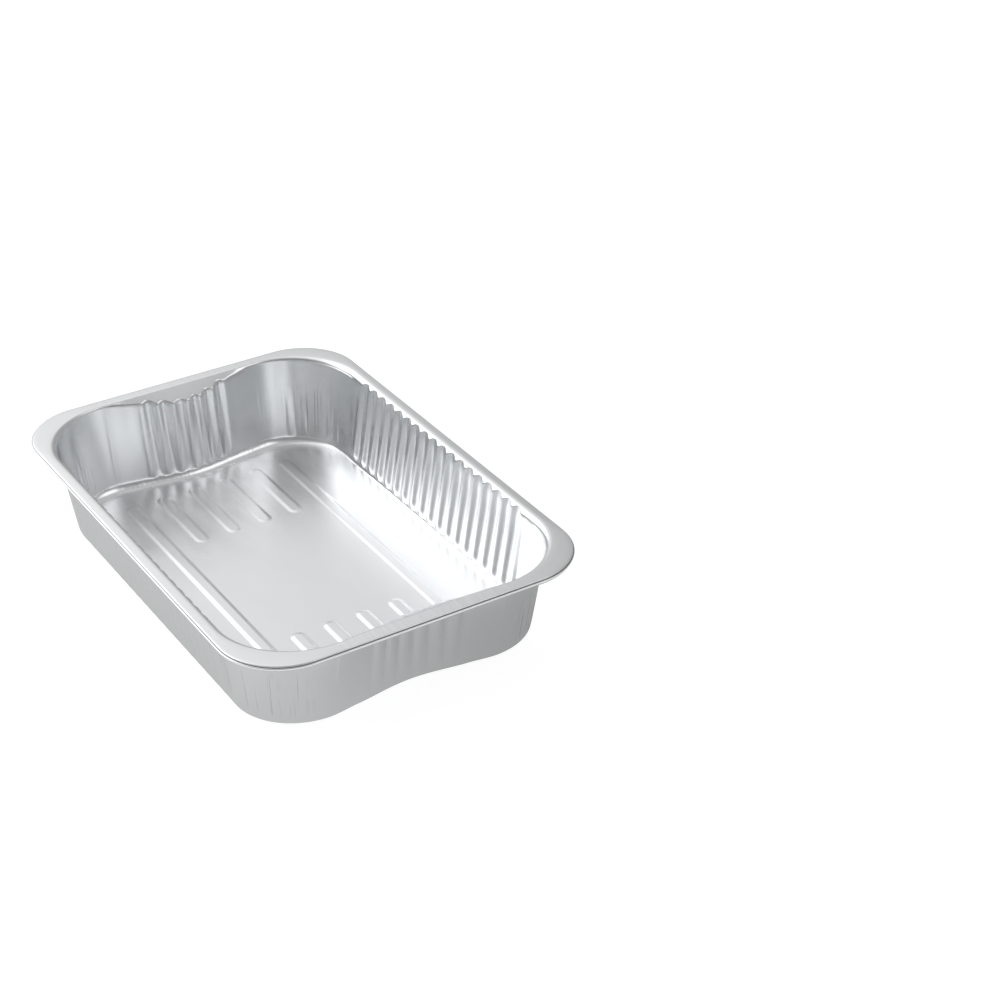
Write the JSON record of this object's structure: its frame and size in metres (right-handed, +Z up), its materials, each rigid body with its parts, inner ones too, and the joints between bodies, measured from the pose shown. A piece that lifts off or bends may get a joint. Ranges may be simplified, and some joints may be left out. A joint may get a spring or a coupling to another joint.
{
  "type": "foil roasting pan",
  "caption": "Deep rectangular roasting pan pressed from one sheet of aluminium foil, with fluted walls, waisted ends, a flat flange with a rolled edge, and a ribbed floor.",
  "frame": {"origin": "middle of the pan's length and width, on the plane that it stands on", "axes": "+Z up, Y along the pan's length, X across it"},
  "size_m": [0.245, 0.36, 0.0645],
  "materials": {
    "foil": "bright rolled foil with a soft satin sheen, fine rolling grain and small press creases"
  },
  "bodies": {
    "root": {"pan": "foil"}
  },
  "joints": []
}
